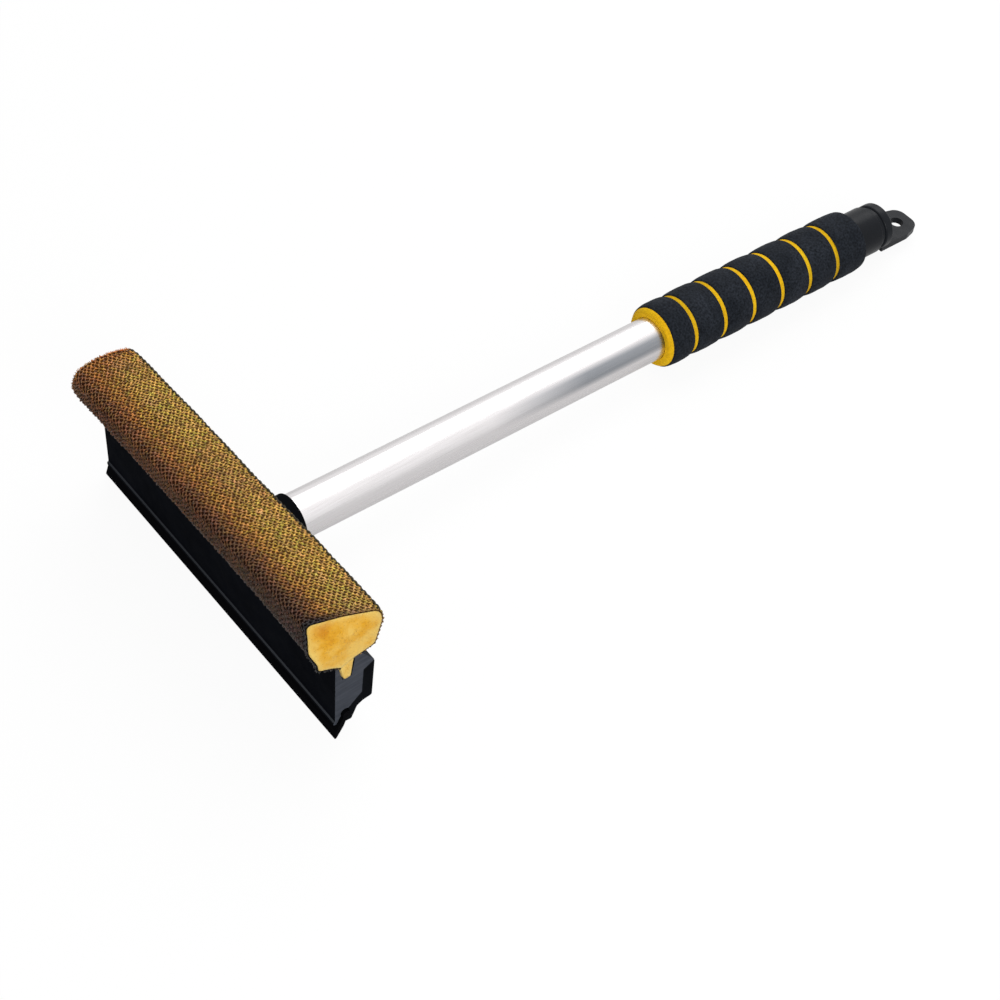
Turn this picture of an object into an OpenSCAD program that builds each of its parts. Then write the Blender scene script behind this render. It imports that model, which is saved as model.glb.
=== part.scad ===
// Window scrubber: a netted foam pad and a rubber blade on one T-shaped head.
// A round metal handle with a foam grip leaves the middle of the head.
// The outlines below are drawn in the tool's own axes: X along the head, Y back
// along the handle from the head's rear face, Z up, with the handle's axis at Z 0.
// The whole tool is then tipped a little, so that it lies on its blade and its grip.

/* [Head] */
// Length of the two head shells
head_len = 203; // [160:1:320]
// Depth of the head from its rear face to its front wall, at the channel
head_depth = 22.8; // [21:0.1:26]
// How far the front wall leans back on its way down
front_lean = 1.6; // [0:0.1:3]
// Height of the channel's lips above the handle axis
lip_top = 19.5; // [17:0.5:23]
// Depth of the rear shell
rear_shell_d = 6.2; // [5:0.1:7]
// Wall of both shells
wall = 2.5; // [2:0.1:3]
// Height of the flat bottom of the rear shell below the handle axis
rear_low = 15.7; // [15:0.1:18]

/* [Pad] */
// Length of the foam pad
pad_len = 206; // [160:1:330]
// How far the pad's front face stands ahead of the head's rear face
pad_front = 37.5; // [30:0.5:48]
// How far the pad overhangs the head's rear face
pad_back = 2.4; // [0:0.1:8]
// Height of the pad's underside above the handle axis
pad_low = 25; // [24:0.5:32]
// Height of the pad's front edge above its underside
pad_h_front = 32; // [20:0.5:45]
// Height of the pad's rear edge above its underside
pad_h_rear = 25.5; // [18:0.5:40]
// How far the net pulls in the front corner at each end
pad_nip = 6.5; // [2:0.5:12]
// Thickness of the net
net_t = 0.8; // [0.4:0.1:1.5]
// Width of the foot where it leaves the pad
foot_w = 8.6; // [6:0.1:9]
// Width of the foot at its tip
foot_tip_w = 4.6; // [3:0.1:6]
// Height of the channel's floor above the handle axis
channel_floor = 9; // [7:0.5:11]

/* [Blade] */
// Length of the rubber blade
blade_len = 206.4; // [160:0.2:330]
// How far the blade stands out of its slot
blade_out = 9; // [6:0.5:14]
// Lean of the blade towards the front, from straight down
blade_lean = 22; // [10:1:30]
// Thickness of the blade where it leaves the slot
blade_root_t = 3.2; // [2.4:0.1:3.6]
// Thickness of the blade's lip
blade_lip_t = 1.4; // [0.8:0.1:2.2]
// Radius of the bead that holds the blade in its slot
bead_r = 2.2; // [1.8:0.1:2.6]

/* [Handle] */
// Outside diameter of the metal tube
tube_d = 25; // [19:0.5:26]
// Wall of the metal tube
tube_wall = 1; // [0.8:0.1:2]
// Distance from the head's rear face to the rear end of the tube
tube_end = 416; // [360:1:900]
// Wall of the plastic socket round the tube
socket_wall = 1.5; // [1.2:0.1:2]
// Length of the socket behind the head
socket_out = 24; // [20:1:40]
// Diameter of the rivet through socket and tube
rivet_d = 4; // [3:0.5:6]

/* [Grip] */
// Wall of the inner foam layer of the grip
core_wall = 4.9; // [2:0.1:7]
// Thickness of each outer foam band
band_t = 1; // [0.8:0.1:4]
// Distance between two grooves
band_pitch = 22.3; // [16:0.1:30]
// Width of a groove
groove_w = 2.6; // [1:0.1:5]
// How much shorter the front foam band is than the others
front_less = 4; // [0:0.5:8]
// Length of the rounded front end that the inner layer shows
grip_nose = 2.5; // [1:0.5:8]

/* [End cap] */
// Radius of the cap where it meets the grip
cap_r = 14.4; // [13.2:0.1:16]
// Length of the cap's round body
cap_len = 30; // [20:1:50]
// Width of the hanging tongue
tongue_w = 23; // [18:0.5:26]
// Length of the hanging tongue behind the cap's round body
tongue_len = 30; // [24:0.5:40]
// Thickness of the hanging tongue
tongue_t = 4; // [3:0.5:5]
// Radius of the hanging hole
hang_r = 4; // [2:0.25:5]

/* [Hidden] */
$fn = 72;

BAND_COUNT = 7;
CORNER_STEPS = 6;
slip = 0.3;           // clearance round a piece that slides in its slot
seat = 0.05;          // clearance round a pin or a tube in its hole
over = 1;             // how far a cut runs past the face it opens

// Handle
tube_r = tube_d / 2;
socket_r = tube_r + socket_wall;
socket_in = 10;       // how far the socket reaches into the hollow head
socket_floor = 2;
socket_edge = 0.8;
rivet_y = socket_out / 2;
rivet_head_r = rivet_d * 0.85;
rivet_head_h = 1.3;
spot_depth = 0.6;     // flat under each rivet head
spot_z = socket_r - spot_depth;
plug_len = 30;

// Head outlines, in Y and Z
front_low = head_depth - front_lean;
lean_dir = [sin(blade_lean), cos(blade_lean)];
side_dir = [cos(blade_lean), -sin(blade_lean)];
mouth_in = 2.8;       // from the front wall's foot to the middle of the slot's mouth
wall_foot = 8.5;      // from the flat bottom of the rear shell down to the wall's foot
mouth_low = 0.6;      // from the wall's foot down to the slot's mouth
ledge_out = 0.8;      // small ledge along the foot of the front wall
ledge_h = 1.8;
lip_low = -(rear_low + wall_foot);
mouth = [-(front_low - mouth_in), lip_low - mouth_low];
bead_up = 7.5;
bead_at = mouth + bead_up * lean_dir;
neck_t = 2.4;
toe_t = 0.4;          // lip of the rear shell behind the blade
leg_step = [-8.5, -(rear_low + 2.6)];
leg_heel = [-11.5, mouth[1] - 1.4];
leg_toe = mouth + (blade_root_t / 2 + slip + toe_t) * side_dir;
post_foot_z = 8;
post_rear = [-0.4, 11.5];
post_top = [-8.2, lip_top + 3];
parting_low = -9;     // height where the parting face turns towards the blade's bead
parting_corner = [-rear_shell_d, parting_low];
parting_land = 1.4;   // height of the rim that the front shell keeps above the parting face
heel_len = 5.5;
cavity_heel = parting_corner + [0, parting_land] + heel_len * unit(bead_at - parting_corner);
cavity_low = cavity_heel[1];
stop_t = 2.5;         // wall that closes the left end of channel and blade slot

foot_in = 6.3;        // from the front wall to the middle of the pad's foot
foot_shift = 0.7;     // how far the foot's tip lies behind its root
foot_mid = -(head_depth - foot_in);
foot_low = channel_floor + slip;
channel_w = foot_w + 2 * slip;
channel_tip_w = foot_tip_w + 2 * slip;

// Screws that hold the two shells together
screw_margin = 14;
screw_past_gusset = 10;
screw_z = -3.5;
screw_r = 1.5;
screw_head_r = 3;
screw_head_h = 2;
screw_len = 12;
boss_r = 3.6;
rib_t = 2;
gusset_reach = 26;
gusset_t = 3;
screw_in = socket_r + gusset_reach + screw_past_gusset;
screw_out = head_len / 2 - screw_margin;
SCREW_X = [-screw_out, -screw_in, screw_in, screw_out];
RIB_X = [-(screw_in + screw_out) / 2, -socket_r - boss_r, socket_r + boss_r, (screw_in + screw_out) / 2];

// Grip
core_r = tube_r + core_wall;
band_r = core_r + band_t;
band_edge = 1;
band_len = band_pitch - groove_w;
bands_start = tube_end - BAND_COUNT * band_pitch + groove_w;
grip_front = bands_start + front_less;
nose_step = 1.8;
bevel_r = band_r - 1.1;

// End cap
plug_in = 24;
plug_r = tube_r - tube_wall - seat;
cap_neck_r = cap_r - 1.5;
cap_neck_w = 2.6;     // groove between the cap's collar and its rear ring
cap_ring_r = cap_r - 0.5;
cap_ring_w = 6;
cap_edge = 1.2;
tongue_top = -7;
tongue_root = 4;      // part of the tongue inside the cap's round body
tongue_straight = 0.6; // share of the tongue's length that keeps its full width
tongue_tip_w = tongue_w * 0.74;
cap_end = tube_end + cap_len + tongue_len;
hang_edge = 10;       // from the hanging hole's centre to the end of the tongue
hang_y = cap_end - hang_edge;

function unit(v) = v / norm(v);

// Points of an arc of radius r that rounds corner b between a and c
function corner(a, b, c, r) =
    let (u = unit(a - b), v = unit(c - b), half = acos(u * v) / 2,
         centre = b + unit(u + v) * r / sin(half),
         p = b + u * r / tan(half) - centre,
         q = b + v * r / tan(half) - centre,
         a0 = atan2(p[1], p[0]),
         turn = (atan2(q[1], q[0]) - a0 + 900) % 360 - 180)
    [for (i = [0 : CORNER_STEPS]) centre + r * [cos(a0 + turn * i / CORNER_STEPS),
                                                sin(a0 + turn * i / CORNER_STEPS)]];

// An outline given as [y, z, radius] corners, with its corners rounded
function rounded(c) =
    let (n = len(c), p = [for (k = c) [k[0], k[1]]])
    [for (i = [0 : n - 1]) each (c[i][2] > 0
        ? corner(p[(i + n - 1) % n], p[i], p[(i + 1) % n], c[i][2]) : [p[i]])];

// The same corners moved inwards by d, for corners listed anticlockwise
function inset(c, d) =
    let (n = len(c), p = [for (k = c) [k[0], k[1]]])
    [for (i = [0 : n - 1])
        let (u = unit(p[i] - p[(i + n - 1) % n]), v = unit(p[(i + 1) % n] - p[i]),
             nu = [-u[1], u[0]], nv = [-v[1], v[0]],
             m = p[i] + d * (nu + nv) / (1 + nu * nv))
        [m[0], m[1], max(0, c[i][2] - d)]];

// Corners of the pad's block, anticlockwise from its lower front edge
pad_cheek = [-pad_front, pad_low + 15];
pad_toe = [-pad_front + 6, pad_low + 2.6];
nip_low = [-pad_front, pad_low + 3.6];
pad_corners = [
    [pad_cheek[0], pad_cheek[1], 8],
    [pad_toe[0], pad_toe[1], 4],
    [foot_mid - foot_w / 2, lip_top + 0.9, 0],
    [foot_mid + foot_w / 2, pad_low - 1.4, 0],
    [pad_back - 3.4, pad_low + 0.8, 3],
    [pad_back + 0.2, pad_low + pad_h_rear * 0.66, 10],
    [pad_back - 1.6, pad_low + pad_h_rear, 6.5],
    [-pad_front * 0.48, pad_low + (pad_h_front + pad_h_rear) / 2 + 0.8, 60],
    [-pad_front, pad_low + pad_h_front, 5]];
pad_outline = rounded(pad_corners);

// Rest: the floor touches the blade's lip and the rear edge of the last band
lip_centre = mouth - (blade_out - blade_lip_t / 2) * lean_dir;
heel_centre = [tube_end - band_edge, -(band_r - band_edge)];
heel_reach = norm(heel_centre - lip_centre);
rest_tilt = -(atan2(heel_centre[1] - lip_centre[1], heel_centre[0] - lip_centre[0])
              - asin((band_edge - blade_lip_t / 2) / heel_reach));
function tipped_y(p) = p[0] * cos(rest_tilt) - p[1] * sin(rest_tilt);
function tipped_z(p) = p[0] * sin(rest_tilt) + p[1] * cos(rest_tilt);
rest_lift = blade_lip_t / 2 - tipped_z(lip_centre);
front_reach = min([for (p = pad_outline) tipped_y(p)]);
rear_reach = tipped_y([cap_end, tongue_top - tongue_t]);

module at_rest() {
    translate([0, -(front_reach + rear_reach) / 2, rest_lift]) rotate([rest_tilt, 0, 0]) children();
}

// An outline in Y and Z, drawn out along X from x0 to x1
module along_head(x0, x1) {
    translate([x0, 0, 0]) rotate([90, 0, 90]) linear_extrude(height = x1 - x0) children();
}

// A round piece along the handle: its outline is given in radius and Y
module round_handle() {
    rotate([-90, 0, 0]) rotate_extrude() children();
}

module rod_y(r, y0, y1, x = 0, z = 0) {
    translate([x, y0, z]) rotate([-90, 0, 0]) cylinder(r = r, h = y1 - y0);
}

module blade_slot() {
    wide = blade_root_t / 2 + slip;
    narrow = neck_t / 2 + slip;
    below = mouth - 3 * lean_dir;
    translate(bead_at) circle(r = bead_r + slip);
    polygon([bead_at - narrow * side_dir, mouth - wide * side_dir, below - wide * side_dir,
             below + wide * side_dir, mouth + wide * side_dir, bead_at + narrow * side_dir]);
}

module channel() {
    top = pad_low + over;
    polygon([[foot_mid - channel_w / 2, top], [foot_mid - channel_w / 2, lip_top],
             [foot_mid + foot_shift - channel_tip_w / 2, channel_floor],
             [foot_mid + foot_shift + channel_tip_w / 2, channel_floor],
             [foot_mid + channel_w / 2, lip_top], [foot_mid + channel_w / 2, top]]);
}

module front_outline() {
    polygon(rounded([
        [-head_depth, lip_top, 0.8],
        [-front_low, lip_low + ledge_h + ledge_out, 0.3],
        [-front_low - ledge_out, lip_low + ledge_h, 0.4],
        [-front_low - ledge_out, lip_low, 0.5],
        [mouth[0], mouth[1], 0],
        [bead_at[0], bead_at[1], 0],
        [-rear_shell_d, parting_low, 0],
        [-rear_shell_d, post_foot_z, 0],
        [post_rear[0], post_rear[1] - 0.3, 0],
        [post_rear[0], post_rear[1] + 0.6, 0.4],
        [post_top[0], post_top[1], 1.2],
        [foot_mid + channel_w / 2 - over, post_top[1] + 0.6, 0]]));
}

module front_cavity() {
    inner = head_depth - wall;
    open_y = -rear_shell_d + over;
    land = parting_low + parting_land;
    polygon([[-inner, channel_floor - wall], [-inner + front_lean / 2, cavity_low], cavity_heel,
             [-rear_shell_d, land], [open_y, land], [open_y, channel_floor - wall]]);
}

// A rib fills the front cavity and reaches a little into its walls
module front_rib() {
    sunk = wall / 3;
    inner = head_depth - wall + sunk;
    high = channel_floor - wall + sunk;
    rim = [0, -parting_land / 3];
    polygon([[-inner, high], [-inner + front_lean / 2, cavity_low - sunk], cavity_heel + rim,
             [-rear_shell_d - slip, parting_low + parting_land + rim[1]],
             [-rear_shell_d - slip, high]]);
}

module rear_outline() {
    polygon(rounded([
        [-rear_shell_d, post_foot_z, 0],
        [-rear_shell_d, parting_low, 0],
        [bead_at[0], bead_at[1], 0],
        [mouth[0], mouth[1], 0],
        [leg_toe[0], leg_toe[1], 0],
        [leg_heel[0], leg_heel[1], 0.8],
        [leg_step[0], leg_step[1], 1],
        [-5.2, -(rear_low + 0.7), 1],
        [0, -rear_low, 1.2],
        [0, post_rear[1] - 0.5, 0.4],
        [post_rear[0], post_rear[1] - 0.3, 0]]));
}

module rear_cavity() {
    top = post_foot_z - wall;
    polygon([[-rear_shell_d - over, top], [-rear_shell_d - over, parting_low + parting_land],
             [-rear_shell_d, cavity_low], [-wall, cavity_low], [-wall, top]]);
}

module front_shell() {
    half = head_len / 2;
    color("#34363e") at_rest() difference() {
        union() {
            difference() {
                along_head(-half, half) front_outline();
                along_head(-half + wall, half - wall) front_cavity();
            }
            for (x = RIB_X) along_head(x - rib_t / 2, x + rib_t / 2) front_rib();
            for (x = SCREW_X) rod_y(boss_r, -head_depth + wall, -rear_shell_d, x, screw_z);
        }
        along_head(-half + stop_t, half + over) channel();
        along_head(-half + stop_t, half + over) blade_slot();
        rod_y(socket_r + slip, -socket_in - slip, over);
        for (x = SCREW_X) rod_y(screw_r + seat, -screw_len - over, over, x, screw_z);
    }
}

module gusset() {
    linear_extrude(height = gusset_t, center = true)
        polygon([[0, -over], [socket_r + gusset_reach, -over], [socket_r + gusset_reach, 0],
                 [socket_r - over, socket_out * 0.8], [0, socket_out * 0.8]]);
}

module rear_shell() {
    half = head_len / 2;
    color("#17181b") at_rest() difference() {
        union() {
            difference() {
                along_head(-half, half) rear_outline();
                along_head(-half + wall, half - wall) rear_cavity();
            }
            for (x = SCREW_X) rod_y(boss_r, -rear_shell_d, -wall / 2, x, screw_z);
            round_handle() polygon(rounded([
                [0, -socket_in, 0], [socket_r, -socket_in, socket_edge],
                [socket_r, socket_out, socket_edge], [0, socket_out, 0]]));
            gusset();
            mirror([1, 0, 0]) gusset();
        }
        along_head(-half + stop_t, half + over) blade_slot();
        rod_y(tube_r + seat, -socket_in + socket_floor, socket_out + over);
        for (side = [0, 180]) rotate([0, side, 0]) {
            translate([0, rivet_y, 0]) cylinder(r = rivet_d / 2 + seat, h = socket_r + over);
            translate([0, rivet_y, spot_z]) cylinder(r = rivet_head_r + slip, h = socket_r);
        }
        for (x = SCREW_X) rod_y(screw_r + seat, -rear_shell_d - over, over, x, screw_z);
    }
}

module shell_screw() {
    drive = 0.7;
    difference() {
        round_handle() polygon(rounded([
            [0, -screw_len, 0], [screw_r * 0.4, -screw_len, 0], [screw_r, -screw_len + 2, 0],
            [screw_r, 0, 0], [screw_head_r, 0, 0], [screw_head_r, screw_head_h, 0.9],
            [0, screw_head_h, 0]]));
        for (turn = [0, 90]) rotate([0, turn, 0]) translate([-screw_head_r * 0.6, 1, -drive / 2])
            cube([screw_head_r * 1.2, screw_head_h, drive]);
    }
}

module shell_screws() {
    color("#a9abb0") at_rest()
        for (x = SCREW_X) translate([x, 0, screw_z]) shell_screw();
}

module rubber_blade() {
    top = mouth - 0.8 * lean_dir;
    lap = blade_lip_t / 4;
    half = blade_len / 2;
    color("#101114") at_rest() {
        along_head(-half, half) {
            polygon([top - blade_root_t / 2 * side_dir, lip_centre - blade_lip_t / 2 * side_dir,
                     lip_centre + blade_lip_t / 2 * side_dir, top + blade_root_t / 2 * side_dir]);
            translate(lip_centre) circle(d = blade_lip_t);
        }
        along_head(-head_len / 2 + stop_t + slip, half) {
            polygon([bead_at - neck_t / 2 * side_dir, top - blade_root_t / 2 * side_dir,
                     lip_centre - lap * side_dir, lip_centre + lap * side_dir,
                     top + blade_root_t / 2 * side_dir, bead_at + neck_t / 2 * side_dir]);
            translate(bead_at) circle(r = bead_r);
        }
    }
}

// The net pulls the pad's upper front corner in at both ends
module nipped() {
    hinge = [pad_len / 2, pad_back, pad_low + pad_h_rear];
    slope = atan2(hinge[2] - nip_low[1], hinge[1] - nip_low[0]);
    corner_rise = pad_front * sin(slope) + (pad_h_front - pad_h_rear) * cos(slope);
    cut = pad_front * 2;
    difference() {
        children();
        for (side = [0, 1]) mirror([side, 0, 0]) translate(hinge) rotate([slope, 0, 0])
            rotate([0, -atan2(pad_nip, corner_rise), 0]) translate([0, -cut, 0])
                cube([cut, 2 * cut, cut]);
    }
}

module foam_pad() {
    half = pad_len / 2;
    color("#e9b64e") at_rest() {
        nipped() along_head(-half, half) polygon(rounded(inset(pad_corners, net_t)));
        along_head(-head_len / 2 + stop_t + slip, half) polygon(rounded([
            [foot_mid - foot_w / 2, pad_low + over, 0],
            [foot_mid - foot_w / 2, lip_top, 0],
            [foot_mid + foot_shift - foot_tip_w / 2, foot_low, 1.2],
            [foot_mid + foot_shift + foot_tip_w / 2, foot_low, 1.2],
            [foot_mid + foot_w / 2, lip_top, 0],
            [foot_mid + foot_w / 2, pad_low + over, 0]]));
    }
}

module scrub_net() {
    half = pad_len / 2;
    color("#a5802f") at_rest() difference() {
        nipped() along_head(-half, half) polygon(pad_outline);
        along_head(-half - over, half + over) polygon(rounded(inset(pad_corners, net_t)));
        along_head(-half - over, half + over) translate([foot_mid - foot_w / 2, lip_top])
            square([foot_w, pad_low - lip_top + over]);
    }
}

module handle_tube() {
    front = -socket_in + socket_floor;
    color("#d7dadf") at_rest() difference() {
        rod_y(tube_r, front, tube_end);
        rod_y(tube_r - tube_wall, front - over, tube_end + over);
        translate([0, rivet_y, -socket_r]) cylinder(r = rivet_d / 2 + seat, h = 2 * socket_r);
    }
}

module tube_plug() {
    front = -socket_in + socket_floor;
    color("#2a2b2e") at_rest() difference() {
        rod_y(plug_r, front, front + plug_len);
        translate([0, rivet_y, -socket_r]) cylinder(r = rivet_d / 2 + seat, h = 2 * socket_r);
    }
}

module socket_rivet() {
    dome = 0.9;
    color("#b4b6ba") at_rest() translate([0, rivet_y, 0]) rotate_extrude() polygon(rounded([
        [0, -spot_z - rivet_head_h, 0], [rivet_head_r, -spot_z - rivet_head_h, dome],
        [rivet_head_r, -spot_z, 0], [rivet_d / 2, -spot_z, 0], [rivet_d / 2, spot_z, 0],
        [rivet_head_r, spot_z, 0], [rivet_head_r, spot_z + rivet_head_h, dome],
        [0, spot_z + rivet_head_h, 0]]));
}

module grip_core() {
    bore = tube_r + seat;
    color("#f2b91f") at_rest() round_handle() polygon(rounded([
        [bore, grip_front - grip_nose, 0], [bevel_r - nose_step, grip_front - grip_nose, nose_step],
        [bevel_r, grip_front - 0.8, 1], [bevel_r, grip_front, 0], [core_r, grip_front, 0],
        [core_r, tube_end, 0], [bore, tube_end, 0]]));
}

module grip_band(k) {
    place = bands_start + (k - 1) * band_pitch;
    start = k == 1 ? grip_front : place;
    color("#2a2c33") at_rest() round_handle() polygon(rounded([
        [core_r, start, 0], [band_r, start, band_edge], [band_r, place + band_len, band_edge],
        [core_r, place + band_len, 0]]));
}

module end_cap() {
    body_end = tube_end + cap_len;
    ring_y = body_end - cap_ring_w;
    neck_y = ring_y - cap_neck_w;
    taper_y = body_end + tongue_len * tongue_straight;
    color("#232428") at_rest() difference() {
        union() {
            round_handle() polygon(rounded([
                [0, tube_end - plug_in, 0], [plug_r, tube_end - plug_in, 1],
                [plug_r, tube_end, 0], [cap_r, tube_end, 0.6],
                [cap_r, neck_y - over, 0.8], [cap_neck_r, neck_y, 0],
                [cap_neck_r, ring_y, 0], [cap_ring_r, ring_y, cap_edge],
                [cap_ring_r, body_end, cap_edge], [0, body_end, 0]]));
            translate([0, 0, tongue_top - tongue_t]) linear_extrude(height = tongue_t)
                polygon(rounded([
                    [-tongue_w / 2, body_end - tongue_root, 0],
                    [tongue_w / 2, body_end - tongue_root, 0],
                    [tongue_w / 2, taper_y, 4],
                    [tongue_tip_w / 2, cap_end, 7], [-tongue_tip_w / 2, cap_end, 7],
                    [-tongue_w / 2, taper_y, 4]]));
        }
        translate([0, hang_y, tongue_top - tongue_t - over])
            cylinder(r = hang_r, h = tongue_t + 2 * over);
    }
}

front_shell();
rear_shell();
shell_screws();
rubber_blade();
foam_pad();
scrub_net();
handle_tube();
tube_plug();
socket_rivet();
grip_core();
grip_band(1);  // grip_band_1
grip_band(2);  // grip_band_2
grip_band(3);  // grip_band_3
grip_band(4);  // grip_band_4
grip_band(5);  // grip_band_5
grip_band(6);  // grip_band_6
grip_band(7);  // grip_band_7
end_cap();
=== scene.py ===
import math

import bpy
import numpy as np
from mathutils import Matrix, Vector


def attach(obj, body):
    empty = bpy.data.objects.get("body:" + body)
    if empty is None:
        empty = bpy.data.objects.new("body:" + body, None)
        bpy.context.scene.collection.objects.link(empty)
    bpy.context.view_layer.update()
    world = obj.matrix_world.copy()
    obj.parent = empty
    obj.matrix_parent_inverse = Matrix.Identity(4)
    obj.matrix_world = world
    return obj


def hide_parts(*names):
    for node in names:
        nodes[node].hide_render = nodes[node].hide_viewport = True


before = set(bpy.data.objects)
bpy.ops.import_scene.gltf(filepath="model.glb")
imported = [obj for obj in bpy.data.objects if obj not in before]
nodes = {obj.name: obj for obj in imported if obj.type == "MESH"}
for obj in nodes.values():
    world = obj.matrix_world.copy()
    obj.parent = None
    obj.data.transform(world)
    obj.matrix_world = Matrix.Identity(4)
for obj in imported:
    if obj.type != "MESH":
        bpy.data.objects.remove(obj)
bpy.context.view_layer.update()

MM = 0.001

# The tool's own axes, in millimetres, and how the tool lies at rest
REST_TILT = math.radians(-1.94129)
REST_SHIFT = np.array([0.0, -219.646, 32.4483])
COS, SIN = math.cos(REST_TILT), math.sin(REST_TILT)


def at_rest(points):
    """Points in the tool's own axes, in millimetres, to the row frame in metres."""
    p = np.asarray(points, float)
    x, y, z = p[..., 0], p[..., 1], p[..., 2]
    turned = np.stack([x, COS * y - SIN * z, SIN * y + COS * z], axis=-1)
    return (turned + REST_SHIFT) * MM


# Values of the part, in millimetres
PAD_LEN = 206.0
HEAD_LEN = 203.0
PAD_FRONT, PAD_BACK, PAD_LOW = 37.5, 2.4, 25.0
PAD_H_FRONT, PAD_H_REAR = 32.0, 25.5
PAD_NIP = 6.5
NET_T = 0.8
FOOT_MID, FOOT_W, FOOT_TIP_W = -16.5, 8.6, 4.6
LIP_TOP, FOOT_LOW = 19.5, 9.3
STOP_T, SLIP = 2.5, 0.3
TUBE_R, TUBE_END = 12.5, 416.0
CORE_R, BAND_R = 17.4, 18.4
BANDS, BAND_PITCH, GROOVE_W = 7, 22.3, 2.6
BANDS_START = TUBE_END - BANDS * BAND_PITCH + GROOVE_W
GRIP_FRONT = BANDS_START + 4
GRIP_NOSE = 2.5
GRIP_END = TUBE_END + 2.4
CAP_R = 14.4


# ---------------------------------------------------------------- materials
WHITE = (1.0, 1.0, 1.0)


class Paint:
    """One procedural material, built node by node."""

    def __init__(self, name, color, rough, metal=0.0, **sockets):
        self.material = bpy.data.materials.new(name)
        self.material.use_nodes = True
        self.tree = self.material.node_tree
        self.tree.nodes.clear()
        self.out = self.add("ShaderNodeOutputMaterial")
        self.bsdf = self.add("ShaderNodeBsdfPrincipled")
        self.link(self.bsdf.outputs[0], self.out.inputs["Surface"])
        self.set("Base Color", (*color, 1))
        self.set("Roughness", rough)
        self.set("Metallic", metal)
        for key, value in sockets.items():
            self.set(key.replace("_", " "), value)
        coords = self.add("ShaderNodeTexCoord")
        self.place = coords.outputs["Object"]
        self.normal = coords.outputs["Normal"]

    def add(self, kind, **settings):
        node = self.tree.nodes.new(kind)
        for key, value in settings.items():
            setattr(node, key, value)
        return node

    def link(self, a, b):
        self.tree.links.new(a, b)

    def set(self, socket, value):
        self.bsdf.inputs[socket].default_value = value

    def axes(self, vector):
        """The x, y and z of a vector."""
        node = self.add("ShaderNodeSeparateXYZ")
        self.link(vector, node.inputs[0])
        return node.outputs[0], node.outputs[1], node.outputs[2]

    def scaled(self, scale):
        """Object coordinates, drawn out or pressed together along each axis."""
        node = self.add("ShaderNodeMapping")
        node.inputs["Scale"].default_value = scale
        self.link(self.place, node.inputs["Vector"])
        return node.outputs[0]

    def noise(self, scale, detail, rough=0.5, vector=None):
        node = self.add("ShaderNodeTexNoise")
        node.inputs["Scale"].default_value = scale
        node.inputs["Detail"].default_value = detail
        node.inputs["Roughness"].default_value = rough
        self.link(vector or self.place, node.inputs["Vector"])
        return node.outputs[0]

    def cells(self, scale):
        """Distance to the middle of the nearest cell."""
        node = self.add("ShaderNodeTexVoronoi")
        node.inputs["Scale"].default_value = scale
        self.link(self.place, node.inputs["Vector"])
        return node.outputs["Distance"]

    def ramp(self, fac, stops):
        """Colours by value: stops are pairs of a place from 0 to 1 and a colour."""
        node = self.add("ShaderNodeValToRGB")
        items = node.color_ramp.elements
        while len(items) < len(stops):
            items.new(0.5)
        for item, (at, color) in zip(items, stops):
            item.position = at
            item.color = (*color, 1)
        self.link(fac, node.inputs["Fac"])
        return node.outputs["Color"]

    def span(self, value, low, high, to_low=0.0, to_high=1.0):
        """The value's way from low to high, as a number from to_low to to_high."""
        node = self.add("ShaderNodeMapRange")
        limits = (("From Min", low), ("From Max", high), ("To Min", to_low), ("To Max", to_high))
        for key, number in limits:
            node.inputs[key].default_value = number
        self.link(value, node.inputs["Value"])
        return node.outputs["Result"]

    def math(self, operation, a, b):
        node = self.add("ShaderNodeMath", operation=operation)
        for socket, value in zip(node.inputs, (a, b)):
            if isinstance(value, (int, float)):
                socket.default_value = value
            else:
                self.link(value, socket)
        return node.outputs[0]

    def blend(self, fac, a, b, how="MIX"):
        node = self.add("ShaderNodeMix", data_type="RGBA", blend_type=how)
        sockets = {s.identifier: s for s in node.inputs}
        for key, value in (("Factor_Float", fac), ("A_Color", a), ("B_Color", b)):
            if hasattr(value, "links"):
                self.link(value, sockets[key])
            elif isinstance(value, tuple):
                sockets[key].default_value = (*value, 1)
            else:
                sockets[key].default_value = value
        return {s.identifier: s for s in node.outputs}["Result_Color"]

    def times(self, a, b):
        """Two colours multiplied."""
        return self.blend(1.0, a, b, "MULTIPLY")

    def color(self, output):
        self.link(output, self.bsdf.inputs["Base Color"])

    def rough(self, output):
        self.link(output, self.bsdf.inputs["Roughness"])

    def bump(self, height, strength, distance, after=None):
        node = self.add("ShaderNodeBump")
        node.inputs["Strength"].default_value = strength
        node.inputs["Distance"].default_value = distance
        self.link(height, node.inputs["Height"])
        if after is not None:
            self.link(after, node.inputs["Normal"])
        self.link(node.outputs[0], self.bsdf.inputs["Normal"])
        return node.outputs[0]


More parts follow.
